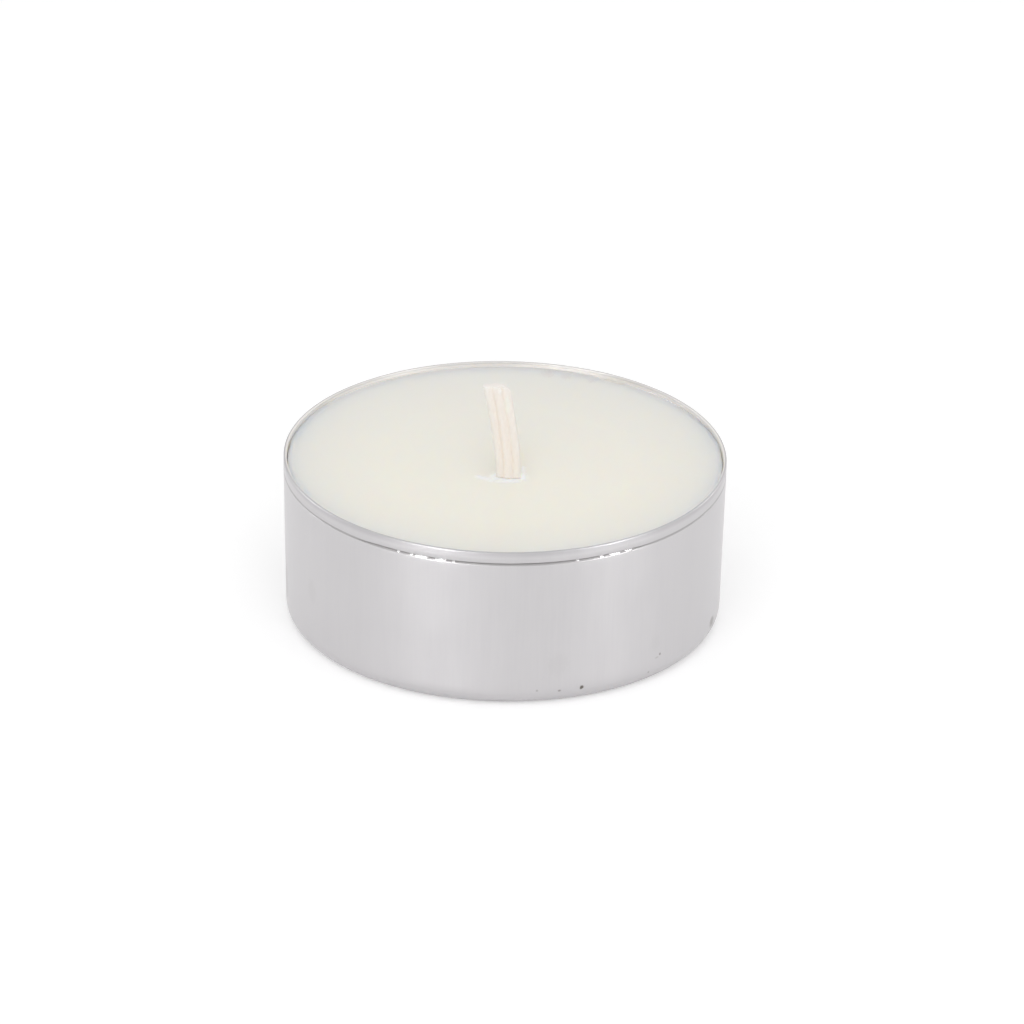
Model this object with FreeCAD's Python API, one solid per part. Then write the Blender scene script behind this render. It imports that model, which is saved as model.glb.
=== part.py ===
import FreeCAD, Part
import math
import os

# A tea light candle. A thin aluminium cup, drawn from one sheet, has its rim folded outwards into a
# flat hem. It holds a cast disc of wax, and in the wax stand a wick and the steel tab that grips the
# wick's foot. All sizes are in millimetres. The origin is the centre of the cup's base, on the
# surface that the candle stands on. +Z is up and the front is towards -Y.

# Cup
cup_diameter = 38.0  # over the hem, and over the wall just under it
cup_height = 14.7
sheet = 0.1  # thickness of the aluminium
wall_draft = 0.34  # how much the wall's radius shrinks on its way down to the foot
foot_radius = 1.3  # outside of the bend from the wall to the base
panel_diameter = 28.6  # middle of the base, pressed up so that the cup stands on a ring
panel_rise = 0.4  # over as wide a slope

# Hem round the rim
hem_height = 1.0
hem_gap = 0.06  # air inside the fold
shoulder_drop = 0.16  # height over which the wall steps in below the hem
seam_gap = 0.05  # from the hem's cut edge down to the shoulder

# A bend is drawn as flats that touch its arc, and one tighter than the sheet is drawn sharp
foot_flats = 4
small_flats = 1  # in the bends of the fold and the wax

# Wax
wax_below_rim = 0.4  # from the top of the hem to the wax at its edge
wax_shrink = 0.22  # gap that the cooling wax leaves inside the hem and at the foot of the wall
wax_edge_round = 0.4
wax_dish = 0.4  # how much lower the wax lies in its middle
wax_level_diameter = 27.0  # of the level middle, from where it slopes up to the edge
collar_height = 0.35  # wax that climbs the wick's foot
collar_reach = 0.75
collar_bend = 0.4  # share of the collar's height at which its slope turns steep
wax_film = 0.06  # wax on the wick at the top of the collar

# Wick: three cords side by side, soaked with wax
wick_x = 0.3
wick_y = -2.65
middle_cord_radius = 0.5
side_cord_radius = 0.42
cord_spacing = 0.62
wick_free_height = 8.1  # from the level wax to the tip
wick_lean_left = 1.18
wick_lean_back = 1.25
wick_curl = 1.5  # 1 leans evenly all the way up, and more bends later
wick_turned = -6.0  # degrees, at the foot
wick_twist = 28.0  # degrees, from the collar to the tip
wick_stretches = 4  # that the bent part of the wick is drawn in

# Tab that the wick stands in
tab_diameter = 12.7
tab_sheet = 0.2  # thickness of the tinned steel
neck_height = 3.0
neck_flare = 0.3  # where the neck leaves the disc
neck_fit = 0.03  # clearance between the neck and the wick's widest cord

# Values that follow from the sizes above
cup_radius = cup_diameter / 2
foot_wall_radius = cup_radius - wall_draft
floor_height = panel_rise + sheet
hem_foot_height = cup_height - hem_height
shoulder_top = hem_foot_height - seam_gap
fold_step = sheet + hem_gap  # from the middle of one layer of the hem to the other's
hem_inside_radius = cup_radius - fold_step - sheet
wax_edge_height = cup_height - wax_below_rim
wax_level = wax_edge_height - wax_dish
wax_top_radius = hem_inside_radius - wax_shrink
wax_foot_radius = foot_wall_radius - sheet - wax_shrink
collar_top = wax_level + collar_height
wick_tip = wax_level + wick_free_height
neck_bore_radius = max(middle_cord_radius, side_cord_radius) + neck_fit

UP = FreeCAD.Vector(0, 0, 1)
same_place = 1e-4  # two levels or radii closer than this are one
sharp = (0, 0)  # a bend with no radius and no flats


def in_section(radius, height):
    """A point of a section that is turned about the cup's axis."""
    return FreeCAD.Vector(radius, 0, height)


def left_of(direction):
    """The unit vector to the left of a direction in the section."""
    return FreeCAD.Vector(-direction.z, 0, direction.x)


def beside(corners, bends, side):
    """Corners and bends of the path that runs to the left of another one, at a distance."""
    steps = [(end - start).normalize() for start, end in zip(corners, corners[1:])]
    moved = [corners[0] + left_of(steps[0]) * side]
    moved_bends = []
    for corner, (radius, flats), before, after in zip(corners[1:], bends, steps, steps[1:]):
        left_before, left_after = left_of(before), left_of(after)
        moved.append(corner + (left_before + left_after) * (side / (1 + left_before.dot(left_after))))
        moved_bends.append((radius - side if left_before.dot(after) > 0 else radius + side, flats))
    moved.append(corners[-1] + left_of(steps[-1]) * side)
    return moved, moved_bends


def bent_path(corners, bends):
    """Points of a path round its corners, where each bend has a radius and a number of flats."""
    points = [corners[0]]
    for before, corner, after, (radius, flats) in zip(corners, corners[1:], corners[2:], bends):
        travel = (corner - before).normalize()
        onward = (after - corner).normalize()
        turn = travel.getAngle(onward)
        flats = flats if radius > sheet else 0
        arm = left_of(travel) * (-1 if left_of(travel).dot(onward) > 0 else 1)
        centre = corner - travel * (radius * math.tan(turn / 2)) - arm * radius
        step = turn / (flats + 1)
        reach = radius / math.cos(step / 2)
        for number in range(flats + 1):
            angle = (number + 0.5) * step
            points.append(centre + (arm * math.cos(angle) + travel * math.sin(angle)) * reach)
    return points + [corners[-1]]


def straight(start, end):
    """A straight edge. A steep one is a spline, because its turned face meshes lighter than a cone."""
    rise, run = abs(end.z - start.z), abs(end.x - start.x)
    if rise < run or run < same_place:
        return Part.makeLine(start, end)
    slope = Part.BSplineCurve()
    slope.buildFromPolesMultsKnots([start, end], [2, 2], [0, 1], False, 1)
    return slope.toShape()


def turned(points):
    """The solid that a section makes when it is turned about the cup's axis."""
    edges = [straight(start, end) for start, end in zip(points, points[1:] + points[:1])]
    return Part.Face(Part.Wire(edges)).revolve(FreeCAD.Vector(0, 0, 0), UP, 360)


def prism(wire, height):
    """The solid over a level wire."""
    return Part.Face(wire).extrude(UP * height)


def hole_edges(solid, height):
    """The edges round the hole in the solid's level face at a height."""
    for face in solid.Faces:
        box = face.BoundBox
        if abs(box.ZMin - height) < same_place and abs(box.ZMax - height) < same_place:
            holes = [wire for wire in face.Wires if not wire.isSame(face.OuterWire)]
            return [edge for hole in holes for edge in hole.Edges]


def base_corners():
    """Corners along the middle of the cup's sheet, from its axis to the foot of the wall."""
    middle = sheet / 2
    panel_edge = panel_diameter / 2
    return [
        in_section(0, panel_rise + middle),
        in_section(panel_edge, panel_rise + middle),
        in_section(panel_edge + panel_rise, middle),
        in_section(foot_wall_radius - middle, middle),
    ]


def make_cup():
    """The drawn cup with its pressed base, its shoulder and the hem round its rim."""
    middle = sheet / 2
    outer_layer = cup_radius - middle
    inner_layer = outer_layer - fold_step
    fold_top = cup_height - middle
    corners = base_corners() + [
        in_section(outer_layer, shoulder_top - shoulder_drop),
        in_section(inner_layer, shoulder_top),
        in_section(inner_layer, fold_top),
        in_section(outer_layer, fold_top),
        in_section(outer_layer, hem_foot_height),
    ]
    foot = (foot_radius - middle, foot_flats)
    fold = (fold_step / 2, small_flats)
    bends = [sharp, sharp, foot, sharp, sharp, fold, fold]
    wax_side = bent_path(*beside(corners, bends, middle))
    other_side = bent_path(*beside(corners, bends, -middle))
    return turned(wax_side + other_side[::-1])


def wick_placement(lean_left=0.0, lean_back=0.0, height=0.0, twist=0.0):
    """Where a level outline of the wick lies, and how it is turned."""
    place = FreeCAD.Vector(wick_x - lean_left, wick_y + lean_back, height)
    return FreeCAD.Placement(place, FreeCAD.Rotation(UP, wick_turned + twist))


def round_wick(radius, height):
    """A wire round the upright wick: half circles round its side cords, joined by straight lines."""
    left, right = FreeCAD.Vector(-cord_spacing, 0, 0), FreeCAD.Vector(cord_spacing, 0, 0)
    across, along = FreeCAD.Vector(0, radius, 0), FreeCAD.Vector(radius, 0, 0)
    wire = Part.Wire([
        Part.Arc(right - across, right + along, right + across).toShape(),
        Part.makeLine(right + across, left + across),
        Part.Arc(left + across, left - along, left - across).toShape(),
        Part.makeLine(left - across, right - across),
    ])
    wire.Placement = wick_placement(height=height)
    return wire


def wick_outline(placement):
    """The outline of the three cords side by side."""
    groove_x = (cord_spacing**2 + middle_cord_radius**2 - side_cord_radius**2) / (2 * cord_spacing)
    groove_y = math.sqrt(middle_cord_radius**2 - groove_x**2)
    side_x = cord_spacing + side_cord_radius
    front_right, back_right = FreeCAD.Vector(groove_x, -groove_y, 0), FreeCAD.Vector(groove_x, groove_y, 0)
    front_left, back_left = FreeCAD.Vector(-groove_x, -groove_y, 0), FreeCAD.Vector(-groove_x, groove_y, 0)
    wire = Part.Wire([
        Part.Arc(front_right, FreeCAD.Vector(side_x, 0, 0), back_right).toShape(),
        Part.Arc(back_right, FreeCAD.Vector(0, middle_cord_radius, 0), back_left).toShape(),
        Part.Arc(back_left, FreeCAD.Vector(-side_x, 0, 0), front_left).toShape(),
        Part.Arc(front_left, FreeCAD.Vector(0, -middle_cord_radius, 0), front_right).toShape(),
    ])
    wire.Placement = placement
    return wire


def make_wick():
    """The wick: upright from the tab to the top of the collar, then leaning to its level cut tip."""
    upright = prism(wick_outline(wick_placement(height=floor_height)), collar_top - floor_height)
    outlines = []
    for number in range(wick_stretches + 1):
        share = number / wick_stretches
        lean = share**wick_curl
        height = collar_top + (wick_tip - collar_top) * share
        placement = wick_placement(wick_lean_left * lean, wick_lean_back * lean, height, wick_twist * share)
        outlines.append(wick_outline(placement))
    return upright.fuse(Part.makeLoft(outlines, True, True))


def make_unbored_tab():
    """The disc and its neck as the wax sees them."""
    disc = Part.makeCylinder(tab_diameter / 2, tab_sheet, FreeCAD.Vector(wick_x, wick_y, floor_height))
    neck = prism(round_wick(neck_bore_radius + tab_sheet, floor_height), neck_height)
    tab = disc.fuse(neck).removeSplitter()
    return tab.makeChamfer(neck_flare, hole_edges(tab, floor_height + tab_sheet))


def make_tab():
    """The tab, drawn from one disc, so that the bore for the wick flares at its foot as well."""
    bore = prism(round_wick(neck_bore_radius, floor_height), neck_height)
    tab = make_unbored_tab().cut(bore)
    return tab.makeChamfer(neck_flare, hole_edges(tab, floor_height))


def make_collar():
    """The wax that climbs the wick's foot, steeper towards its top, with a root inside the disc."""
    outlines = []
    for share in (0, collar_bend, 1):
        reach = middle_cord_radius + wax_film + collar_reach * (1 - share) ** 2
        outlines.append(round_wick(reach, wax_level + collar_height * share))
    root = prism(outlines[0], -collar_height)
    return root.fuse(Part.makeLoft(outlines, True, True))


def make_wax():
    """The cast wax, shaped by the base below it, with pockets for the tab and the wick."""
    corners, bends = beside(base_corners(), [sharp, sharp], sheet / 2)
    corners[-1] = in_section(wax_foot_radius, sheet)
    corners += [
        in_section(wax_top_radius, wax_edge_height),
        in_section(wax_level_diameter / 2, wax_level),
        in_section(0, wax_level),
    ]
    foot = (foot_radius + wax_shrink, small_flats)
    edge = (wax_edge_round, small_flats)
    disc = turned(bent_path(corners, bends + [foot, edge, sharp]))
    return disc.fuse(make_collar()).cut(make_unbored_tab()).cut(make_wick())


pieces = {
    "cup": make_cup(),
    "wax": make_wax(),
    "wick": make_wick(),
    "wick_tab": make_tab(),
}
os.makedirs("parts", exist_ok=True)
for name, shape in pieces.items():
    print(name, "solids", len(shape.Solids), "valid", shape.isValid(), "volume", round(shape.Volume, 3))
    shape.exportStep("parts/" + name + ".step")
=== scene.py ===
import math

import bpy
from mathutils import Matrix, Vector


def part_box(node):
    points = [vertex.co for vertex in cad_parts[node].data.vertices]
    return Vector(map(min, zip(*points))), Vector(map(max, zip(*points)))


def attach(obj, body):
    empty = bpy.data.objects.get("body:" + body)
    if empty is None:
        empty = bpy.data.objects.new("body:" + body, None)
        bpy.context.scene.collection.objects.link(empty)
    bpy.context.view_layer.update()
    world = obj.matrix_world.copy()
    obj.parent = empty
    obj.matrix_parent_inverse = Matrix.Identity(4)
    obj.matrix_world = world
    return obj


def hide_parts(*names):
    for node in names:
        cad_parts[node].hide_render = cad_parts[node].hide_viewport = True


# A tea light candle on a white table. The drawn cup, the cast wax and the plaited wick are modelled
# here in the places that the frame gives them, and the tab inside the wax gets its finish.

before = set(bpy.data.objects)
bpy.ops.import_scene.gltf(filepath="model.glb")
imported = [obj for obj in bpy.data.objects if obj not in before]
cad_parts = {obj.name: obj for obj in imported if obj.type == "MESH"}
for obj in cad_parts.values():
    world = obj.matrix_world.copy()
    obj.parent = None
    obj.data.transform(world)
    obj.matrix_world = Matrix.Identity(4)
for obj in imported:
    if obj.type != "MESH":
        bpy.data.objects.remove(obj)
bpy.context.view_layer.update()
mm = 0.001
scene = bpy.context.scene
print("frame loaded:", ", ".join(sorted(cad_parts)))


# Small tools that every piece below uses

def only(piece):
    bpy.ops.object.select_all(action="DESELECT")
    piece.select_set(True)
    bpy.context.view_layer.objects.active = piece
    return piece


def finishModifiers(piece):
    only(piece)
    for name in [modifier.name for modifier in piece.modifiers]:
        bpy.ops.object.modifier_apply(modifier=name)


def flatPoint(radius, height):  # in the section plane, in millimetres
    return Vector((radius, 0, height)) * mm


# A path through corners, with an arc of its own radius (mm) at each inner corner
def roundedPath(corners, radii, perArc):
    path = [corners[0]]
    for before, corner, after, radius in zip(corners, corners[1:], corners[2:], radii):
        travel, onward = (corner - before).normalized(), (after - corner).normalized()
        turn = travel.angle(onward)
        inward, along = (onward - travel).normalized(), (onward + travel).normalized()
        centre = corner + inward * (radius * mm / math.cos(turn / 2))
        for step in range(perArc + 1):
            angle = turn * (step / perArc - 0.5)
            path.append(centre + (along * math.sin(angle) - inward * math.cos(angle)) * radius * mm)
    return path + [corners[-1]]


# The same path with no stretch longer than a given length (mm)
def divided(path, longest):
    finer = [path[0]]
    for start, end in zip(path, path[1:]):
        parts = max(1, math.ceil((end - start).length / (longest * mm)))
        finer += [start.lerp(end, part / parts) for part in range(1, parts + 1)]
    return finer


# A section drawn point by point and spun about the cup's axis
def turnedPiece(name, path, sides):
    bpy.ops.object.select_all(action="DESELECT")
    bpy.ops.mesh.primitive_plane_add(size=mm)
    piece = bpy.context.object
    piece.name = piece.data.name = name
    bpy.ops.object.mode_set(mode="EDIT")
    bpy.ops.mesh.merge(type="CENTER")  # the plane becomes one point, and the section grows from it
    bpy.ops.transform.translate(value=path[0])
    for start, end in zip(path, path[1:]):
        bpy.ops.mesh.extrude_region_move(TRANSFORM_OT_translate={"value": end - start})
    bpy.ops.mesh.select_all(action="SELECT")
    bpy.ops.mesh.spin(steps=sides, angle=math.tau, center=(0, 0, 0), axis=(0, 0, 1))
    bpy.ops.mesh.select_all(action="SELECT")
    bpy.ops.mesh.remove_doubles(threshold=mm / 500)
    bpy.ops.mesh.normals_make_consistent(inside=False)
    bpy.ops.object.mode_set(mode="OBJECT")
    return piece


# A vertex group whose weight at a point (mm) follows a rule
def weightPiece(piece, name, rule):
    group = piece.vertex_groups.new(name=name)
    for vertex in piece.data.vertices:
        weight = rule(vertex.co / mm)
        if weight > 0:
            group.add([vertex.index], min(weight, 1), "REPLACE")
    return name


# Moves a piece's surface by a cloudy noise of a size (mm), or evenly where the size is left out
def shiftSurface(
    piece, amount, group, direction="NORMAL", size=None, stretch=(1, 1, 1), place=(0, 0, 0)
):
    shift = piece.modifiers.new("shift", "DISPLACE")
    shift.direction = direction
    shift.vertex_group = group
    shift.strength = amount * mm
    if size is None:
        shift.mid_level = 0
        finishModifiers(piece)
        return
    clouds = bpy.data.textures.new("clouds", "CLOUDS")
    clouds.noise_scale = 1
    clouds.noise_depth = 2
    bpy.ops.object.empty_add(location=Vector(place) * mm)
    guide = bpy.context.object
    guide.scale = Vector(stretch) * size * mm
    bpy.context.view_layer.update()
    shift.texture = clouds
    shift.texture_coords = "OBJECT"
    shift.texture_coords_object = guide
    finishModifiers(piece)
    bpy.data.objects.remove(guide)


def eased(value, low, high):  # 0 below low, 1 above high, and smooth in between
    share = min(max((value - low) / (high - low), 0), 1)
    return share * share * (3 - 2 * share)


def azimuthOf(point):  # degrees round from the front (-Y) towards +X
    return math.degrees(math.atan2(point.x, -point.y))


def smoothShade(piece, angle):
    only(piece)
    bpy.ops.object.shade_smooth_by_angle(angle=math.radians(angle))


def finishPiece(piece, node, material):
    only(piece)
    bpy.ops.object.transform_apply(location=True, rotation=True, scale=True)
    piece.vertex_groups.clear()
    piece.data.materials.clear()
    piece.data.materials.append(material)
    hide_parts(node)
    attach(piece, "root")
    print(piece.name, "has", len(piece.data.vertices), "points")


# Camera: the photograph's view, a long lens a little above the candle
cameraView = {
    "distance": 1.0,  # metres, from the middle of the candle
    "elevation": 26.12,  # degrees
    "roll": 0.98,
    "aimHeight": 7.36,  # mm, the point that the view is measured from
    "aimPixel": (503.9, 531.9),
    "pixelsPerMetre": 11626,  # at that distance
    "imageSize": 1024,
}


def placeCamera(view):
    lift = math.radians(view["elevation"])
    roll = math.radians(view["roll"])
    back = Vector((0, -math.cos(lift), math.sin(lift)))
    levelRight, levelUp = Vector((1, 0, 0)), Vector((0, math.sin(lift), math.cos(lift)))
    right = levelRight * math.cos(roll) + levelUp * math.sin(roll)
    up = levelUp * math.cos(roll) - levelRight * math.sin(roll)
    aim = Vector((0, 0, view["aimHeight"] * mm))
    eye = aim + back * view["distance"]
    middle = view["imageSize"] / 2
    across = (middle - view["aimPixel"][0]) / view["pixelsPerMetre"] * view["distance"]
    upward = (view["aimPixel"][1] - middle) / view["pixelsPerMetre"] * view["distance"]
    backward = (eye - aim - right * across - up * upward).normalized()
    sideways = up.cross(backward).normalized()
    turn = Matrix((sideways, backward.cross(sideways), backward)).transposed()
    bpy.ops.object.camera_add(location=eye, rotation=turn.to_euler())
    camera = bpy.context.object
    camera.name = "photoCamera"
    camera.data.sensor_width = 36
    camera.data.lens = 36 * view["pixelsPerMetre"] * view["distance"] / view["imageSize"]
    camera.data.clip_start = 0.01
    camera.data.clip_end = 20
    scene.camera = camera


placeCamera(cameraView)
print("camera placed")


# Materials

def linear(level):  # a screen's level, from 0 to 255, as light
    share = level / 255
    return ((share + 0.055) / 1.055) ** 2.4 if share > 0.04 else share / 12.92


def colour(red, green, blue):
    return linear(red), linear(green), linear(blue), 1


def feed(tree, node, values):  # links what comes from another node, and sets the rest
    for name, value in values.items():
        if isinstance(value, bpy.types.NodeSocket):
            tree.links.new(value, node.inputs[name])
        else:
            node.inputs[name].default_value = value


def addNode(tree, kind, values=None, **settings):
    node = tree.nodes.new(kind)
    for name, value in settings.items():
        setattr(node, name, value)
    feed(tree, node, values or {})
    return node


def newMaterial(name):
    material = bpy.data.materials.new(name)
    material.use_nodes = True
    return material, material.node_tree, material.node_tree.nodes["Principled BSDF"]


def mathNode(tree, operation, first, second=0.0):
    return addNode(tree, "ShaderNodeMath", {0: first, 1: second}, operation=operation).outputs[0]


def times(tree, first, second):
    return mathNode(tree, "MULTIPLY", first, second)


def inverse(tree, value):
    return mathNode(tree, "SUBTRACT", 1.0, value)


def largest(tree, masks):
    highest = masks[0]
    for mask in masks[1:]:
        highest = mathNode(tree, "MAXIMUM", highest, mask)
    return highest


def vectorNode(tree, operation, values):
    return addNode(tree, "ShaderNodeVectorMath", values, operation=operation)


def mixColour(tree, share, first, second):
    values = {0: share, 6: first, 7: second}
    return addNode(tree, "ShaderNodeMix", values, data_type="RGBA").outputs[2]


def ranged(tree, value, low, high, toLow=0.0, toHigh=1.0):
    values = {"Value": value, "From Min": low, "From Max": high, "To Min": toLow, "To Max": toHigh}
    return addNode(tree, "ShaderNodeMapRange", values).outputs[0]


def rising(tree, value, low, high, most=1.0):  # from 0 at low to most at high, both in mm
    return ranged(tree, value, low * mm, high * mm, 0.0, most)


# Object coordinates, their parts, and the distance from the cup's axis
def objectPlace(tree):
    place = addNode(tree, "ShaderNodeTexCoord").outputs["Object"]
    parts = addNode(tree, "ShaderNodeSeparateXYZ", {0: place}).outputs
    flat = vectorNode(tree, "MULTIPLY", {0: place, 1: (1, 1, 0)}).outputs[0]
    return place, parts, vectorNode(tree, "LENGTH", {0: flat}).outputs["Value"]


def addBump(tree, shader, height, distance, strength):
    values = {"Height": height, "Distance": distance * mm, "Strength": strength}
    feed(tree, shader, {"Normal": addNode(tree, "ShaderNodeBump", values).outputs[0]})


# A node group with some vector inputs, some number inputs, a stretch and one number out
def newGroup(name, vectors, numbers, output):
    tree = bpy.data.node_groups.new(name, "ShaderNodeTree")
    face = tree.interface
    for title in vectors:
        face.new_socket(title, in_out="INPUT", socket_type="NodeSocketVector")
    for title, value in numbers.items():
        socket = face.new_socket(title, in_out="INPUT", socket_type="NodeSocketFloat")
        socket.default_value = value
    stretch = face.new_socket("Stretch", in_out="INPUT", socket_type="NodeSocketVector")
    stretch.default_value = (1, 1, 1)
    face.new_socket(output, in_out="OUTPUT", socket_type="NodeSocketFloat")
    given = addNode(tree, "NodeGroupInput").outputs
    return tree, given, addNode(tree, "NodeGroupOutput").inputs[output]


# Group: streaks or grain from a noise on stretched coordinates
def makeGrainGroup():
    numbers = {"Size": 1.0, "Detail": 3.0, "Contrast": 1.0}
    tree, given, result = newGroup("surfaceGrain", ["Vector"], numbers, "Value")
    shrunk = vectorNode(tree, "MULTIPLY", {0: given["Vector"], 1: given["Stretch"]}).outputs[0]
    scale = mathNode(tree, "DIVIDE", 1 / mm, given["Size"])
    values = {"Vector": shrunk, "Scale": scale, "Detail": given["Detail"], "Roughness": 0.6}
    noise = addNode(tree, "ShaderNodeTexNoise", values).outputs[0]
    spread = times(tree, mathNode(tree, "SUBTRACT", noise, 0.5), given["Contrast"])
    level = addNode(tree, "ShaderNodeMath", {0: spread, 1: 0.5}, operation="ADD", use_clamp=True)
    tree.links.new(level.outputs[0], result)
    return tree


# Group: 1 inside an uneven spot round a place (mm), 0 outside
def makeSpotGroup():
    numbers = {"Radius": 0.2, "Edge": 0.5, "Ragged": 0.4}
    tree, given, result = newGroup("unevenSpot", ["Vector", "Place"], numbers, "Mask")
    inMillimetres = vectorNode(tree, "SCALE", {0: given["Vector"], "Scale": 1 / mm}).outputs[0]
    offset = vectorNode(tree, "SUBTRACT", {0: inMillimetres, 1: given["Place"]}).outputs[0]
    shrunk = vectorNode(tree, "MULTIPLY", {0: offset, 1: given["Stretch"]}).outputs[0]
    distance = vectorNode(tree, "LENGTH", {0: shrunk}).outputs["Value"]
    values = {"Vector": inMillimetres, "Scale": 5.0, "Detail": 3.0}
    noise = addNode(tree, "ShaderNodeTexNoise", values).outputs[0]
    uneven = times(tree, mathNode(tree, "SUBTRACT", noise, 0.5), given["Ragged"])
    reach = mathNode(tree, "ADD", mathNode(tree, "DIVIDE", distance, given["Radius"]), uneven)
    values = {"Value": reach, "From Min": 1.0, "From Max": inverse(tree, given["Edge"])}
    mask = addNode(tree, "ShaderNodeMapRange", values, interpolation_type="SMOOTHSTEP")
    tree.links.new(mask.outputs[0], result)
    return tree


grainGroup = makeGrainGroup()
spotGroup = makeSpotGroup()


def grain(tree, vector, size, contrast=1.0, detail=3.0, stretch=(1, 1, 1)):
    values = {"Vector": vector, "Size": size, "Contrast": contrast, "Detail": detail, "Stretch": stretch}
    return addNode(tree, "ShaderNodeGroup", values, node_tree=grainGroup).outputs[0]


def spot(tree, vector, place, radius, edge=0.5, ragged=0.4, stretch=(1, 1, 1)):
    values = {"Vector": vector, "Place": place, "Radius": radius, "Edge": edge, "Ragged": ragged}
    values["Stretch"] = stretch
    return addNode(tree, "ShaderNodeGroup", values, node_tree=spotGroup).outputs[0]


# Cup: thin aluminium, drawn from one sheet, with its rim folded outwards.
# In this table and the ones below, lengths are in mm and angles in degrees.
cupShape = {
    "sheet": 0.1,
    "panelRadius": 14.3,
    "panelRise": 0.4,
    "wallDraft": 0.34,
    "footRadius": 1.3,
    "hemHeight": 1.0,
    "hemGap": 0.06,
    "seamGap": 0.09,
    "shoulderDrop": 0.16,
    "panelBend": 0.25,
    "wallBend": 0.1,  # from the wall into the shoulder
    "shoulderBend": 0.08,  # from the shoulder into the rim
    "bendSteps": 5,
    "longestStep": 0.6,
    "sides": 384,
    "wallWave": 0.05,  # how far the thin wall waves in and out
    "wallZone": (1.0, 5.0, 10.0, 13.3),  # heights between which the waves rise and fade again
    "rimWave": 0.04,
    "rimZone": (11.0, 13.4),
    "cutEdgeWave": 0.03,
    "cutEdgeReach": 0.3,  # how high above the hem's cut edge its waves end
    "cutEdgeDrop": 0.22,  # how much lower the hem's cut edge lies away from the front
    "seamCloses": (32, 46),  # degrees from the front
    "burr": 0.02,
}

cupFinish = {
    "bright": colour(202, 200, 201),
    "dull": colour(194, 192, 194),
    # painted light: a lighter copy of the aluminium on the rim's inner side, for the wax that it mirrors
    "inside": colour(232, 229, 226),
    "foldShade": colour(160, 158, 161),
    "seamShade": colour(150, 148, 148),
    "seamShare": (0.55, 0.7),  # how much of it shows in front and at the sides
    "seamSides": (10, 14),  # from here to here the front passes into the sides (mm from the middle)
    "seamZone": (-0.12, -0.06, 0.1, 0.15),  # heights above the middle of the seam
    # painted highlight: near-white metal where the shoulder glints
    "polished": colour(250, 250, 250),
    "dirt": colour(92, 84, 74),
    "roughness": (0.34, 0.44),
    "rougher": {"dirt": 0.3, "glint": -0.14, "inside": 0.12},
    "grooveDepth": 0.002,  # mm
    "streaks": (0.16, 1.8, 2.0, (1, 1, 0.012)),  # size (mm), contrast, detail and stretch
    "bands": (1.6, 1.6, 3.0, (1, 1, 0.12)),
    "clouds": (5.0, 1.6, 2.0),
    "toneShares": (0.42, 0.3, 0.28),  # of streaks, bands and clouds
    "streakZone": (0.8, 1.6),  # heights between which the streaks set in
    "insideZone": {"inset": (0.06, 0.18), "heights": (13.3, 13.8)},
    "outerFold": {"inset": (0.2, 0.1), "heights": (14.15, 14.5), "share": 0.4},
    "backFold": {"depths": (4, 12), "heights": (14.45, 14.55), "share": 0.3},
    "markEdge": (0.6, 0.9),  # softness and raggedness
    "glintEdge": (0.25, 0.3),
    "glintPlace": (-0.1, 0.05),  # from the rim's radius, and from the middle of the seam
    "marks": [  # azimuth from the front, height, radius (mm), stretch down the wall, darkness
        (73.7, 1.7, 0.8, 1.3, 0.36),
        (21.4, 1.33, 0.24, 1.0, 0.9),
        (15.3, 1.29, 0.18, 1.3, 0.5),
        (46.0, 2.4, 0.16, 1.0, 0.5),
        (44.9, 2.2, 0.3, 2.2, 0.2),
        (42.1, 1.07, 0.14, 1.0, 0.35),
        (9.3, 1.46, 0.14, 1.0, 0.3),
        (71.0, 0.3, 0.3, 1.4, 0.4),
    ],
    "smudges": [
        (14.8, 3.78, 1.3, 0.9, 0.03),
        (-60.0, 6.1, 1.0, 0.7, 0.035),
        (44.0, 3.7, 0.8, 0.8, 0.025),
        (-82.5, 3.7, 1.1, 0.45, 0.1),
    ],
    "glints": [  # azimuth, half length and half height (mm) of the highlights painted on the shoulder, which is also smoother there
        (-28.0, 0.16, 0.15),
        (-24.3, 0.18, 0.15),
        (-21.5, 0.7, 0.15),
        (-16.3, 0.55, 0.15),
        (-12.9, 0.14, 0.12),
        (19.4, 0.16, 0.12),
        (26.0, 0.2, 0.1),
        (29.8, 0.64, 0.1),
        (33.9, 0.44, 0.09),
    ],
}


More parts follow.
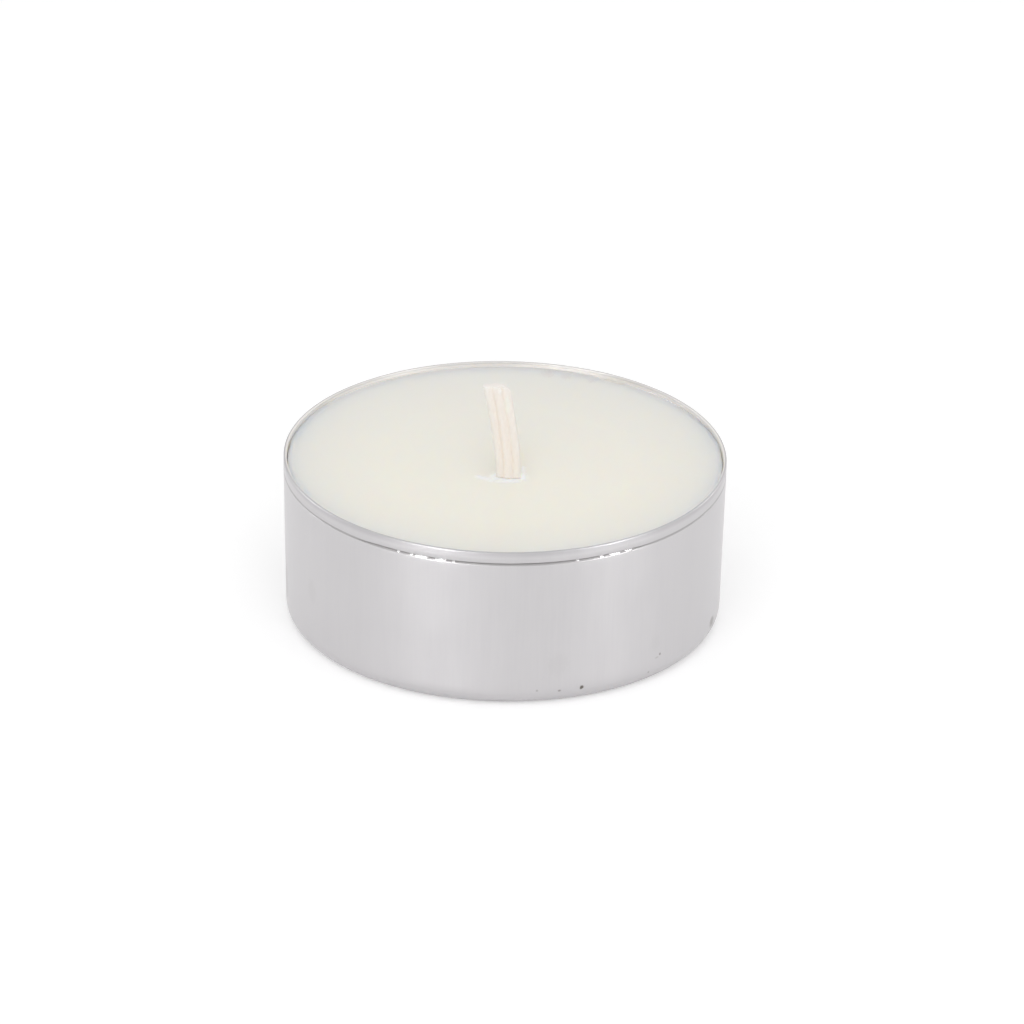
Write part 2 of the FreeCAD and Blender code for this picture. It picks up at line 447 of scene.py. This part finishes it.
def makeAluminium(finish, radius, wallRadius, seamHeight):
    material, tree, shader = newMaterial("drawnAluminium")
    place, parts, fromAxis = objectPlace(tree)
    height, depth = parts["Z"], parts["Y"]

    def inset(distances):  # distances from the axis that lie so far inside the rim's radius
        return [radius - distance for distance in distances]

    # Painted light: the rim's inner side gets the lighter colour and no streaks
    zone = finish["insideZone"]
    inside = times(
        tree, rising(tree, fromAxis, *inset(zone["inset"])), rising(tree, height, *zone["heights"])
    )
    fine, broad, cloudy = [grain(tree, place, *finish[name]) for name in ("streaks", "bands", "clouds")]
    streaks = times(tree, fine, rising(tree, height, *finish["streakZone"]))
    streaks = times(tree, streaks, inverse(tree, inside))
    weighed = [times(tree, *pair) for pair in zip((streaks, broad, cloudy), finish["toneShares"])]
    tone = mathNode(tree, "ADD", mathNode(tree, "ADD", weighed[0], weighed[1]), weighed[2])

    def spotAt(azimuth, reach, high, size, edge, stretch):
        angle = math.radians(azimuth)
        at = (reach * math.sin(angle), -reach * math.cos(angle), high)
        return spot(tree, place, at, size, *edge, (1, 1, stretch))

    dirt = largest(tree, [
        times(tree, spotAt(azimuth, wallRadius(high), high, size, finish["markEdge"], stretch), dark)
        for azimuth, high, size, stretch, dark in finish["marks"] + finish["smudges"]
    ])
    # Painted highlight: near-white, smoother stretches of the shoulder where it glints
    outward, upward = finish["glintPlace"]
    glint = largest(tree, [
        spotAt(azimuth, radius + outward, seamHeight + upward, half, finish["glintEdge"], half / tall)
        for azimuth, half, tall in finish["glints"]
    ])

    # Painted shade in the seam below the hem, on the outer fold, and on the fold at the back
    levels = [seamHeight + level for level in finish["seamZone"]]
    seam = times(tree, rising(tree, height, *levels[:2]), rising(tree, height, levels[3], levels[2]))
    sideways = mathNode(tree, "ABSOLUTE", parts["X"])
    near, far = finish["seamSides"]
    seamShare = ranged(tree, sideways, near * mm, far * mm, *finish["seamShare"])
    seam = times(tree, times(tree, seam, inverse(tree, glint)), seamShare)
    zone = finish["outerFold"]
    outerFold = times(
        tree,
        rising(tree, fromAxis, *inset(zone["inset"])),
        rising(tree, height, *zone["heights"], zone["share"]),
    )
    zone = finish["backFold"]
    backFold = times(
        tree,
        rising(tree, depth, *zone["depths"]),
        rising(tree, height, *zone["heights"], zone["share"]),
    )

    shown = mixColour(tree, tone, finish["dull"], finish["bright"])
    layers = [
        (inside, "inside"),
        (largest(tree, [outerFold, backFold]), "foldShade"),
        (seam, "seamShade"),
        (glint, "polished"),
        (dirt, "dirt"),
    ]
    for mask, name in layers:
        shown = mixColour(tree, mask, shown, finish[name])
    roughness = ranged(tree, tone, 0.2, 0.8, *finish["roughness"])
    for mask, name in ((dirt, "dirt"), (glint, "glint"), (inside, "inside")):
        roughness = mathNode(tree, "ADD", roughness, times(tree, mask, finish["rougher"][name]))
    metallic = inverse(tree, times(tree, dirt, 0.8))
    feed(tree, shader, {"Base Color": shown, "Roughness": roughness, "Metallic": metallic})
    addBump(tree, shader, streaks, finish["grooveDepth"], 1.0)
    return material


def makeCup(shape, finish):
    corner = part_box("cup")[1]
    radius, top = corner.x / mm, corner.z / mm
    sheet = shape["sheet"]
    middle = sheet / 2
    outer = radius - middle
    inner = outer - sheet - shape["hemGap"]
    cutEdge = top - shape["hemHeight"]
    shoulder = cutEdge - shape["seamGap"]
    corners = [
        flatPoint(0, shape["panelRise"] + middle),
        flatPoint(shape["panelRadius"], shape["panelRise"] + middle),
        flatPoint(shape["panelRadius"] + shape["panelRise"], middle),
        flatPoint(radius - shape["wallDraft"] - middle, middle),
        flatPoint(outer, shoulder - shape["shoulderDrop"]),
        flatPoint(inner, shoulder),
        flatPoint(inner, top - middle),
        flatPoint(outer, top - middle),
        flatPoint(outer, cutEdge),
    ]
    fold = (outer - inner) / 2 * 0.999  # just under half, so that the two arcs don't cross
    foot = shape["footRadius"] - middle
    bends = [shape["panelBend"]] * 2 + [foot, shape["wallBend"], shape["shoulderBend"], fold, fold]
    path = divided(roundedPath(corners, bends, shape["bendSteps"]), shape["longestStep"])
    cup = turnedPiece("cupShell", path, shape["sides"])

    rise, full, fade, end = shape["wallZone"]
    wall = weightPiece(cup, "wall", lambda p: eased(p.z, rise, full) * eased(-p.z, -end, -fade))
    shiftSurface(cup, shape["wallWave"], wall, "NORMAL", 7.0, (1, 1, 1.6), (3, 5, 1))
    rim = weightPiece(cup, "rim", lambda p: eased(p.z, *shape["rimZone"]))
    shiftSurface(cup, shape["rimWave"], rim, "X", 9.0, place=(1, 2, 3))
    shiftSurface(cup, shape["rimWave"], rim, "Y", 9.0, place=(-4, 2, 3))
    shiftSurface(cup, shape["rimWave"], rim, "Z", 6.0, place=(7, -2, 3))

    def onEdge(p):  # 1 at the hem's cut edge, 0 above its reach and on the layers inside
        inLayer = math.hypot(p.x, p.y) > outer - sheet and p.z > cutEdge - shape["rimWave"]
        return (1 - eased(p.z, cutEdge, cutEdge + shape["cutEdgeReach"])) if inLayer else 0

    edge = weightPiece(cup, "edge", onEdge)
    sides = weightPiece(
        cup, "sides", lambda p: onEdge(p) * eased(abs(azimuthOf(p)), *shape["seamCloses"])
    )
    shiftSurface(cup, shape["cutEdgeWave"], edge, "Z", 1.1, place=(2, 2, 2))
    shiftSurface(cup, -shape["cutEdgeDrop"], sides, "Z")

    thick = cup.modifiers.new("sheet", "SOLIDIFY")
    thick.thickness = sheet * mm
    thick.offset = 0
    thick.use_even_offset = True
    thick.use_quality_normals = True
    burr = cup.modifiers.new("cutEdge", "BEVEL")
    burr.width = shape["burr"] * mm
    burr.segments = 2
    burr.limit_method = "ANGLE"
    burr.angle_limit = math.radians(60)
    finishModifiers(cup)
    smoothShade(cup, 40)

    def wallRadius(high):  # outside of the wall, and of the bend at its foot
        bend = shape["footRadius"]
        inBend = max(0, bend - high)
        drafted = radius - shape["wallDraft"] * (1 - high / shoulder)
        return drafted - bend + math.sqrt(bend**2 - inBend**2)

    seamHeight = shoulder - shape["shoulderDrop"] / 2
    aluminium = makeAluminium(finish, radius, wallRadius, seamHeight)
    finishPiece(cup, "cup", aluminium)


makeCup(cupShape, cupFinish)


# The wick's line comes first, because the wax's collar and pocket follow it
wickShape = {
    "foot": (0.3, -2.65),
    "bendFrom": 14.25,
    "leanLeft": 1.18,  # at the tip
    "leanBack": 1.25,
    "curl": 1.5,
    "turned": -6.0,
    "twist": 14.0,  # over the free stretch
    "cordSpacing": 0.67,
    "splay": 0.12,  # how much further apart the cords stand at the tip
    "middleRadius": 0.5,
    "sideRadius": 0.42,
    "yarns": 6,
    "yarnDepth": 0.04,
    "yarnTurns": 2.2,
    "pointsPerYarn": 6,
    "rings": 110,
    "snip": (0.5, 0.45),  # width and height of the corner that is cut off the tip
    "voxel": 0.045,  # grid (mm) on which the cords are stuck together
    "soften": 7,  # rounds of smoothing
    "fuzz": 0.025,  # how far the fibres lift its skin
    "drop": {"place": (-0.4, 0.18, 0.44), "size": (0.17, 0.12, 0.34)},  # below the tip, across, forward
    "strip": (-1.6, 0.62, 0.3),
}


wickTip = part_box("wick")[1].z / mm


def wickPlace(height):  # the wick's middle (mm) and its turn (radians) at a height (mm)
    share = max(0, (height - wickShape["bendFrom"]) / (wickTip - wickShape["bendFrom"]))
    lean = share ** wickShape["curl"]
    x = wickShape["foot"][0] - wickShape["leanLeft"] * lean
    y = wickShape["foot"][1] + wickShape["leanBack"] * lean
    return Vector((x, y, height)), math.radians(wickShape["turned"] + wickShape["twist"] * share)


# Wax: a cast disc, dished as it cooled, that climbs the wick's foot
waxShape = {
    "level": 13.9,
    "edgeHeight": 14.3,
    "edgeRadius": 18.72,
    "edgeRound": 0.09,
    "dishFrom": 11.0,
    "footRadius": 1.52,
    "wallFoot": 18.34,
    "panelRadius": 14.28,
    "panelRise": 0.4,
    "sides": 384,
    "rings": [(0, 1.4, 0.35), (1.4, 4.4, 0.06), (4.4, 11, 0.3), (11, 17.6, 0.3)],  # from, to and step
    "edgeRings": (17.6, 0.08),  # from, and step
    "topZone": (13.0, 13.6),  # heights between which the moves of the top set in
    "rimZone": (18.2, 18.6),  # distances from the axis between which those of the edge set in
    "collarHeight": 0.06,
    "collarReach": 0.25,
    "ripple": 0.05,
    "chipDepth": 0.09,  # how far the edge has come off the cup
    "chipRough": 0.08,
    "chips": [(-90.5, 9.0), (90.5, 8.5), (150.5, 4.0)],  # azimuth from the front, and half width
    "fringeHeight": 0.1,  # wax that sticks to the rim at the back
    "fringes": [(-179.0, 5.5), (169.5, 3.0), (141.0, 5.5)],
    "pocket": {
        "disc": 6.35,
        "discTop": 0.7,
        "discHigh": 0.4,
        "slot": [  # radius and height
            (1.03, 0.3), (1.03, 0.7), (0.73, 1.0), (0.73, 3.5), (0.4, 3.5), (0.4, 9.0),
        ],
        "slotSides": 48,
    },
    "ridges": [  # low folds beside the wick: start, end, height and half width
        ((-2.4, -2.6), (-0.9, -3.5), 0.07, 0.26),
        ((-0.9, -3.6), (1.2, -3.62), 0.06, 0.16),
        ((1.6, -3.3), (1.6, -0.6), 0.06, 0.15),
    ],
}

waxFinish = {
    "ivory": colour(247, 242, 230),
    "green": colour(244, 242, 230),
    # painted shade: the back of the wax greyer than its front
    "back": colour(239, 237, 229),
    # painted shade: the wax greyer towards the rim
    "grey": colour(234, 232, 226),
    # painted light: a lighter ring at the very edge of the wax
    "edge": colour(252, 246, 236),
    "pink": colour(228, 220, 215),
    # painted light: lighter wax round the wick's foot, against the shade there
    "paintedFootLight": colour(255, 253, 244),
    "dark": (0, 0, 0, 1),
    "footGlow": (0.15, 0.14, 0.12, 1),  # a painted glow for the light that cotton and wax scatter to each other
    "edgeGlow": (0.2, 0.19, 0.18, 1),  # the same between the wax's back edge and the rim
    # painted highlight: near-white wax on the low folds beside the wick
    "white": colour(255, 252, 249),
    "roughness": (0.38, 0.5),
    "patches": [(3.6, 17.4, 0.9), (5.2, 17.0, 0.8), (7.4, 16.2, 0.6)],  # x, y and radius near the rim
    "patchShare": 0.6,
    "rimShadeShare": 0.7,
    "foldHighlightShare": 0.8,
    "rimShadeZone": (11, 18.4),  # distances from the axis (mm)
    "edgeLightZone": (18.1, 18.5),
    "glowZone": (18.45, 18.65),
    "backShadeZone": (-4, 15),  # depths (mm) over which the painted shade at the back sets in
    "glowDepths": (6, 13),
    "scatter": (1.0, 0.85, 0.65),
    "scatterReach": 3.0,
}


def makeParaffin(shape, finish):
    material, tree, shader = newMaterial("castParaffin")
    place, parts, fromAxis = objectPlace(tree)
    clouds = grain(tree, place, 9.0, 1.8, 3.0)
    specks = grain(tree, place, 0.5, 1.4, 4.0)
    waves = grain(tree, place, 2.2, 1.0, 2.0)
    body = mixColour(tree, clouds, finish["ivory"], finish["green"])
    # Painted shade: greyer towards the back
    body = mixColour(tree, rising(tree, parts["Y"], *finish["backShadeZone"]), body, finish["back"])
    # Painted shade: greyer towards the rim
    towardsEdge = times(tree, rising(tree, fromAxis, *finish["rimShadeZone"]), finish["rimShadeShare"])
    body = mixColour(tree, towardsEdge, body, finish["grey"])
    # Painted light: lighter at the very edge
    body = mixColour(tree, rising(tree, fromAxis, *finish["edgeLightZone"]), body, finish["edge"])
    for x, y, radius in finish["patches"]:
        patch = spot(tree, place, (x, y, 14.1), radius, 0.8, 1.6)
        body = mixColour(tree, times(tree, patch, finish["patchShare"]), body, finish["pink"])

    folds = []  # a row of spots along each fold
    for (startX, startY), (endX, endY), height, half in shape["ridges"]:
        count = math.ceil(math.hypot(endX - startX, endY - startY) / (2 * half))
        for share in [(number + 0.5) / count for number in range(count)]:
            x, y = startX + (endX - startX) * share, startY + (endY - startY) * share
            folds.append(spot(tree, place, (x, y, shape["level"] + 0.05), half * 2.2, 0.8, 0.5))
    fold = largest(tree, folds)

    x, y = wickShape["foot"]
    # Painted light: lighter wax round the wick's foot
    foot = spot(tree, place, (x, y, shape["level"] + 0.1), 2.1, 0.6, 0.3, (1, 1.35, 1))
    body = mixColour(tree, foot, body, finish["paintedFootLight"])
    # Painted highlight on the folds beside the wick
    body = mixColour(tree, times(tree, fold, finish["foldHighlightShare"]), body, finish["white"])
    # Painted glow: the wax gives off light round the wick's foot and at its back edge
    close = spot(tree, place, (x, y, shape["level"]), 1.8, 0.45, 0.1, (1, 1.5, 1))
    glow = mixColour(tree, close, finish["dark"], finish["footGlow"])
    backEdge = times(
        tree,
        rising(tree, fromAxis, *finish["glowZone"]),
        rising(tree, parts["Y"], *finish["glowDepths"]),
    )
    glow = mixColour(tree, backEdge, glow, finish["edgeGlow"])
    roughness = ranged(tree, specks, 0.3, 0.7, *finish["roughness"])
    roughness = mathNode(tree, "SUBTRACT", roughness, times(tree, fold, 0.12))
    feed(tree, shader, {
        "Base Color": body,
        "Emission Color": glow,
        "Emission Strength": 1.0,
        "Roughness": roughness,
        "Subsurface Weight": 1.0,
        "Subsurface Radius": finish["scatter"],
        "Subsurface Scale": finish["scatterReach"] * mm,
        "IOR": 1.43,
    })
    addBump(tree, shader, mathNode(tree, "ADD", times(tree, specks, 0.15), waves), 0.02, 0.6)
    return material


def fromWick(point):  # distance (mm) from the skin of the upright wick
    middle, turn = wickPlace(wickShape["bendFrom"])
    across = Vector((math.cos(turn), math.sin(turn)))
    offset = Vector((point.x - middle.x, point.y - middle.y))
    along = min(max(offset.dot(across), -wickShape["cordSpacing"]), wickShape["cordSpacing"])
    return max(0, (offset - across * along).length - wickShape["middleRadius"])


def fromLine(point, start, end):  # level distance (mm) from a straight line
    start, end = Vector(start), Vector(end)
    offset = Vector((point.x, point.y)) - start
    share = min(max(offset.dot(end - start) / (end - start).length_squared, 0), 1)
    return (offset - (end - start) * share).length


def within(point, places):  # 1 in the middle of the nearest of some stretches of the edge, 0 outside
    around = azimuthOf(point)
    shares = [1 - (((around - middle + 180) % 360 - 180) / half) ** 2 for middle, half in places]
    return max(0, *shares)


def steps(start, end, longest):  # even steps, without the end itself
    count = max(1, round((end - start) / longest))
    return [start + (end - start) * number / count for number in range(count)]


# The room for the tab and the wick: the tab's disc, and a rounded slot for its neck and the wick
def cutPocket(wax, shape):
    x, y = wickShape["foot"]
    pocket = shape["pocket"]
    high = pocket["discHigh"]
    middle = Vector((x, y, pocket["discTop"] - high / 2)) * mm
    bpy.ops.mesh.primitive_cylinder_add(
        vertices=96, radius=pocket["disc"] * mm, depth=high * mm, location=middle
    )
    disc = bpy.context.object
    bpy.ops.object.transform_apply(location=True)
    bpy.ops.object.select_all(action="DESELECT")
    sides = pocket["slotSides"]
    bpy.ops.mesh.primitive_circle_add(
        vertices=sides, radius=mm, fill_type="NGON", rotation=(0, 0, math.pi / sides)
    )
    slot = bpy.context.object
    bpy.ops.object.transform_apply(rotation=True)
    bpy.ops.object.mode_set(mode="EDIT")
    bpy.ops.mesh.select_all(action="SELECT")
    for level in pocket["slot"][1:]:
        bpy.ops.mesh.extrude_region_move(TRANSFORM_OT_translate={"value": (0, 0, mm)})
    bpy.ops.object.mode_set(mode="OBJECT")
    turn = Matrix.Rotation(math.radians(wickShape["turned"]), 3, "Z")
    for vertex in slot.data.vertices:  # each level goes out to its own rounded outline and height
        radius, height = pocket["slot"][round(vertex.co.z / mm)]
        side = math.copysign(wickShape["cordSpacing"], vertex.co.x)
        around = Vector((vertex.co.x, vertex.co.y, 0)).normalized() * radius + Vector((side, 0, 0))
        vertex.co = (turn @ around + Vector((x, y, height))) * mm
    bpy.ops.object.mode_set(mode="EDIT")
    bpy.ops.mesh.select_all(action="SELECT")
    bpy.ops.mesh.normals_make_consistent(inside=False)
    bpy.ops.object.mode_set(mode="OBJECT")
    for tool in (disc, slot):
        cut = wax.modifiers.new("cut", "BOOLEAN")
        cut.operation = "DIFFERENCE"
        cut.solver = "EXACT"
        cut.object = tool
    finishModifiers(wax)
    for tool in (disc, slot):
        bpy.data.objects.remove(tool)


def makeWax(shape, finish):
    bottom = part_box("wax")[0].z / mm
    panelTop = bottom + shape["panelRise"]
    dish = shape["edgeHeight"] - shape["level"]
    radii = [radius for stretch in shape["rings"] for radius in steps(*stretch)]
    edgeFrom, edgeStep = shape["edgeRings"]
    radii += steps(edgeFrom, shape["edgeRadius"] - 0.2, edgeStep)
    rings = []
    for radius in radii:
        share = max(0, (radius - shape["dishFrom"]) / (shape["edgeRadius"] - shape["dishFrom"]))
        rings.append(flatPoint(radius, shape["level"] + dish * share**1.6))
    corners = [
        rings[-1],
        flatPoint(shape["edgeRadius"], shape["edgeHeight"]),
        flatPoint(shape["wallFoot"], bottom),
        flatPoint(shape["panelRadius"] + shape["panelRise"], bottom),
        flatPoint(shape["panelRadius"], panelTop),
        flatPoint(0, panelTop),
    ]
    outside = roundedPath(corners, [shape["edgeRound"], shape["footRadius"], 0, 0], 6)
    edge = divided(outside[1:8] + [flatPoint(shape["edgeRadius"] - 0.02, 13.4)], 0.15)
    wax = turnedPiece("waxDisc", rings + edge + divided(outside[8:], 2.5), shape["sides"])
    onTop = weightPiece(wax, "top", lambda p: eased(p.z, *shape["topZone"]))
    shiftSurface(wax, shape["ripple"], onTop, "Z", 6.0, place=(2, 3, 5))

    def onRim(p, low):
        return eased(math.hypot(p.x, p.y), *shape["rimZone"]) * eased(p.z, low, low + 0.25)

    chip = weightPiece(
        wax, "chip", lambda p: min(1, 2 * within(p, shape["chips"])) * onRim(p, 13.75)
    )
    shiftSurface(wax, -shape["chipDepth"], chip)
    shiftSurface(wax, shape["chipRough"], chip, "NORMAL", 0.5, place=(1, 1, 1))
    fringe = weightPiece(wax, "fringe", lambda p: within(p, shape["fringes"]) * onRim(p, 13.9))
    shiftSurface(wax, shape["fringeHeight"], fringe, "Z", 0.9, place=(5, 2, 1))

    def collared(p):
        climb = max(0, 1 - fromWick(p) / shape["collarReach"]) ** 2
        return climb * eased(p.z, *shape["topZone"])

    collar = weightPiece(wax, "collar", collared)
    shiftSurface(wax, shape["collarHeight"], collar, "Z")

    for number, (start, end, height, half) in enumerate(shape["ridges"]):
        def folded(p):
            nearness = max(0, 1 - fromLine(p, start, end) / half)
            return nearness * eased(p.z, *shape["topZone"])

        shiftSurface(wax, height, weightPiece(wax, "fold" + str(number), folded), "Z")
    cutPocket(wax, shape)
    smoothShade(wax, 50)
    finishPiece(wax, "wax", makeParaffin(shape, finish))


makeWax(waxShape, waxFinish)


# Wick: three cords side by side, each of twisted yarns
def makeCord(number, shape):
    low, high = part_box("wick")
    radius = shape["middleRadius"] if number == 0 else shape["sideRadius"]
    stepHeight = (high.z - low.z) / mm / shape["rings"]

    def centreAt(height):
        middle, turn = wickPlace(height)
        splay = 1 + shape["splay"] * max(0, height - shape["bendFrom"]) / (wickTip - shape["bendFrom"])
        across = Vector((math.cos(turn), math.sin(turn), 0)) * (number * shape["cordSpacing"] * splay)
        return (middle + across) * mm, turn

    centre, turn = centreAt(low.z / mm)
    perYarn = shape["pointsPerYarn"]
    bpy.ops.object.select_all(action="DESELECT")
    bpy.ops.mesh.primitive_circle_add(
        vertices=shape["yarns"] * perYarn, radius=radius * mm, fill_type="NGON", location=centre
    )
    cord = bpy.context.object
    cord.name = "cord" + str(number)
    bpy.ops.object.transform_apply(location=True)
    for vertex in cord.data.vertices:  # each yarn's first point lies in a groove between two yarns
        away = abs(vertex.index % perYarn - perYarn / 2) / (perYarn / 2)
        offset = vertex.co - centre
        vertex.co = centre + offset * (1 - shape["yarnDepth"] * away**2)
    bpy.ops.object.mode_set(mode="EDIT")
    bpy.ops.mesh.select_all(action="SELECT")
    yarnStep = math.tau * shape["yarnTurns"] / shape["rings"]
    for ring in range(1, shape["rings"] + 1):
        onward, nextTurn = centreAt(low.z / mm + ring * stepHeight)
        bpy.ops.mesh.extrude_region_move(TRANSFORM_OT_translate={"value": onward - centre})
        bpy.ops.transform.rotate(
            value=-(nextTurn - turn + yarnStep), orient_axis="Z", center_override=onward
        )
        centre, turn = onward, nextTurn
    bpy.ops.mesh.select_all(action="SELECT")
    bpy.ops.mesh.normals_make_consistent(inside=False)
    bpy.ops.object.mode_set(mode="OBJECT")
    return cord


cottonFinish = {
    "cotton": (colour(238, 230, 224), colour(243, 238, 232)),
    "patch": colour(241, 232, 224),
    "waxed": colour(240, 240, 231),
    "drop": colour(248, 243, 237),
    "dark": (0, 0, 0, 1),
    # painted glow: the wick's foot gives off light, for the light that wax and cotton scatter to each
    # other
    "footGlow": (0.12, 0.11, 0.1, 1),
    "glowZone": (14.3, 13.9),  # heights, from the top down
    "patchShare": 0.4,
    "waxedShare": 0.7,
    "roughness": (0.42, 0.6),
    "scatter": (1.0, 0.95, 0.9),
    "scatterReach": 0.9,
}


def makeCotton(finish, dropPlace, stripPlace):
    material, tree, shader = newMaterial("waxedCotton")
    place, parts, _ = objectPlace(tree)
    fibres = grain(tree, place, 0.12, 1.5, 3.0, (1, 1, 0.25))
    patches = times(tree, grain(tree, place, 1.2, 1.5, 2.0), finish["patchShare"])
    strip = spot(tree, place, stripPlace, 0.34, 0.7, 0.8, (1, 0.6, 0.25))
    drop = spot(tree, place, dropPlace, 0.24, 0.6, 0.6, (1, 1, 0.6))
    # Painted glow at the wick's foot
    foot = rising(tree, parts["Z"], *finish["glowZone"])
    body = mixColour(tree, fibres, *finish["cotton"])
    body = mixColour(tree, patches, body, finish["patch"])
    body = mixColour(tree, times(tree, strip, finish["waxedShare"]), body, finish["waxed"])
    body = mixColour(tree, drop, body, finish["drop"])
    feed(tree, shader, {
        "Base Color": body,
        "Roughness": ranged(tree, fibres, 0.2, 0.8, *finish["roughness"]),
        "Emission Color": mixColour(tree, foot, finish["dark"], finish["footGlow"]),
        "Emission Strength": 1.0,
        "Subsurface Weight": 1.0,
        "Subsurface Radius": finish["scatter"],
        "Subsurface Scale": finish["scatterReach"] * mm,
    })
    addBump(tree, shader, fibres, 0.015, 0.6)
    return material


def wickPoint(height, across, forward):  # a place (mm) in the wick's own turn
    middle, turn = wickPlace(height)
    sideways = Vector((math.cos(turn), math.sin(turn), 0))
    return middle + sideways * across + Vector((sideways.y, -sideways.x, 0)) * forward


def snipCorner(cord, shape):  # the slanting cut across the right cord's tip
    side = shape["cordSpacing"] * (1 + shape["splay"]) + shape["sideRadius"]
    upper = wickPoint(wickTip, side - shape["snip"][0], 0)
    lower = wickPoint(wickTip - shape["snip"][1], side, 0)
    outward = (wickPoint(wickTip, 0, 1) - wickPoint(wickTip, 0, 0)).cross(upper - lower).normalized()
    outward = outward if outward.z > 0 else -outward
    for vertex in cord.data.vertices:  # what stands above the cut comes down onto it
        above = (vertex.co - upper * mm).dot(outward)
        vertex.co.z -= max(0, above) / outward.z


def makeWick(shape, finish):
    cords = [makeCord(number, shape) for number in (-1, 0, 1)]
    snipCorner(cords[2], shape)
    down, across, forward = shape["drop"]["place"]
    dropPlace = wickPoint(wickTip + down, across, forward)
    bpy.ops.mesh.primitive_ico_sphere_add(subdivisions=3, radius=mm, location=dropPlace * mm)
    drop = bpy.context.object
    drop.scale = shape["drop"]["size"]
    bpy.ops.object.transform_apply(location=True, scale=True)
    wick = only(cords[1])
    for piece in cords + [drop]:
        piece.select_set(True)
    bpy.ops.object.join()
    wick.name = wick.data.name = "wickBraid"

    together = wick.modifiers.new("together", "REMESH")
    together.mode = "VOXEL"
    together.voxel_size = shape["voxel"] * mm
    soft = wick.modifiers.new("soft", "SMOOTH")
    soft.factor = 0.5
    soft.iterations = shape["soften"]
    finishModifiers(wick)

    def freeStretch(p):  # from just above the wax to just below the tip
        return eased(p.z, 14.0, 14.4) * eased(-p.z, -wickTip + 0.02, -wickTip + 0.3)

    free = weightPiece(wick, "free", freeStretch)
    shiftSurface(wick, shape["fuzz"], free, "NORMAL", 0.2, (1, 1, 8), (1, 2, 3))
    smoothShade(wick, 60)
    down, across, forward = shape["strip"]
    stripPlace = wickPoint(wickTip + down, across, forward)
    finishPiece(wick, "wick", makeCotton(finish, dropPlace, stripPlace))


makeWick(wickShape, cottonFinish)


# Tab: the frame's own piece, in bright tinned steel
tabFinish = {
    "tin": (colour(205, 205, 202), colour(222, 222, 219)),
    "roughness": (0.22, 0.36),
}


def makeTinnedSteel(finish):
    material, tree, shader = newMaterial("tinnedSteel")
    place = addNode(tree, "ShaderNodeTexCoord").outputs["Object"]
    rolled = grain(tree, place, 0.25, 1.4, 2.0, (1, 0.05, 1))
    feed(tree, shader, {
        "Base Color": mixColour(tree, rolled, *finish["tin"]),
        "Roughness": ranged(tree, rolled, 0.2, 0.8, *finish["roughness"]),
        "Metallic": 1.0,
    })
    return material


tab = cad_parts["wick_tab"]
tab.data.materials.clear()
tab.data.materials.append(makeTinnedSteel(tabFinish))
print("tab finished")


# Studio: a white table, a white room, two soft lamps, and six that only metal and gloss mirror
studio = {
    "tableSize": 6.0,  # metres
    "tableColour": (0.82, 0.82, 0.82, 1),
    "tableGlow": 0.3,  # added where the table is seen or mirrored
    "roomLight": 0.62,
    "lamps": [  # name, azimuth from the front, elevation, distance, width and height (m), watts
        ("topLamp", 10.0, 80.0, 0.8, 0.7, 0.7, 1.3),
        ("frontLamp", -5.0, 40.0, 0.9, 0.8, 0.8, 1.9),
    ],
    "mirroredLamps": [  # tall soft strips, fills and small sparks
        ("leftStrip", -31.0, 5.0, 0.25, 0.025, 0.05, 0.2),
        ("rightStrip", 53.0, 5.0, 0.25, 0.02, 0.05, 0.155),
        ("leftFill", -106.0, 4.0, 0.25, 0.1, 0.03, 0.075),
        ("rightFill", 118.0, 4.0, 0.25, 0.1, 0.03, 0.06),
        ("leftSpark", -52.0, 57.0, 0.7, 0.1, 0.1, 0.22),
        ("rightSpark", 72.0, 52.0, 0.7, 0.1, 0.1, 0.22),
    ],
}


def seenDirectly(tree):  # 1 where the camera or a mirroring surface looks, 0 for all other light
    path = addNode(tree, "ShaderNodeLightPath").outputs
    return largest(tree, [path["Is Camera Ray"], path["Is Glossy Ray"]])


def makeStudio(setting):
    bpy.ops.object.select_all(action="DESELECT")
    bpy.ops.mesh.primitive_plane_add(size=setting["tableSize"])
    table = bpy.context.object
    table.name = "whiteTable"
    material, tree, shader = newMaterial("whiteTable")
    glow = times(tree, seenDirectly(tree), setting["tableGlow"])
    feed(tree, shader, {
        "Base Color": setting["tableColour"],
        "Roughness": 0.9,
        "Specular IOR Level": 0.1,
        "Emission Color": (1, 1, 1, 1),
        "Emission Strength": glow,
    })
    table.data.materials.append(material)

    world = bpy.data.worlds.new("whiteRoom")
    scene.world = world
    world.use_nodes = True
    tree = world.node_tree
    through = addNode(tree, "ShaderNodeLightPath").outputs["Is Transmission Ray"]
    seen = largest(tree, [seenDirectly(tree), through])
    strength = ranged(tree, seen, 0, 1, setting["roomLight"], 1.0)
    background = tree.nodes["Background"]
    background.inputs["Color"].default_value = (1, 1, 1, 1)
    tree.links.new(strength, background.inputs["Strength"])

    for row in setting["lamps"] + setting["mirroredLamps"]:
        name, azimuth, elevation, distance, width, height, power = row
        turn, lift = math.radians(azimuth), math.radians(elevation)
        level = math.cos(lift)
        towards = Vector((math.sin(turn) * level, -math.cos(turn) * level, math.sin(lift)))
        facing = towards.to_track_quat("Z", "Y").to_euler()
        bpy.ops.object.light_add(type="AREA", location=towards * distance, rotation=facing)
        lamp = bpy.context.object
        lamp.name = name
        lamp.data.shape = "RECTANGLE"
        lamp.data.size = width
        lamp.data.size_y = height
        lamp.data.energy = power
        mirrored = row in setting["mirroredLamps"]
        lamp.visible_diffuse = not mirrored
        lamp.visible_glossy = mirrored


makeStudio(studio)
scene.view_settings.view_transform = "Standard"
print("studio ready")
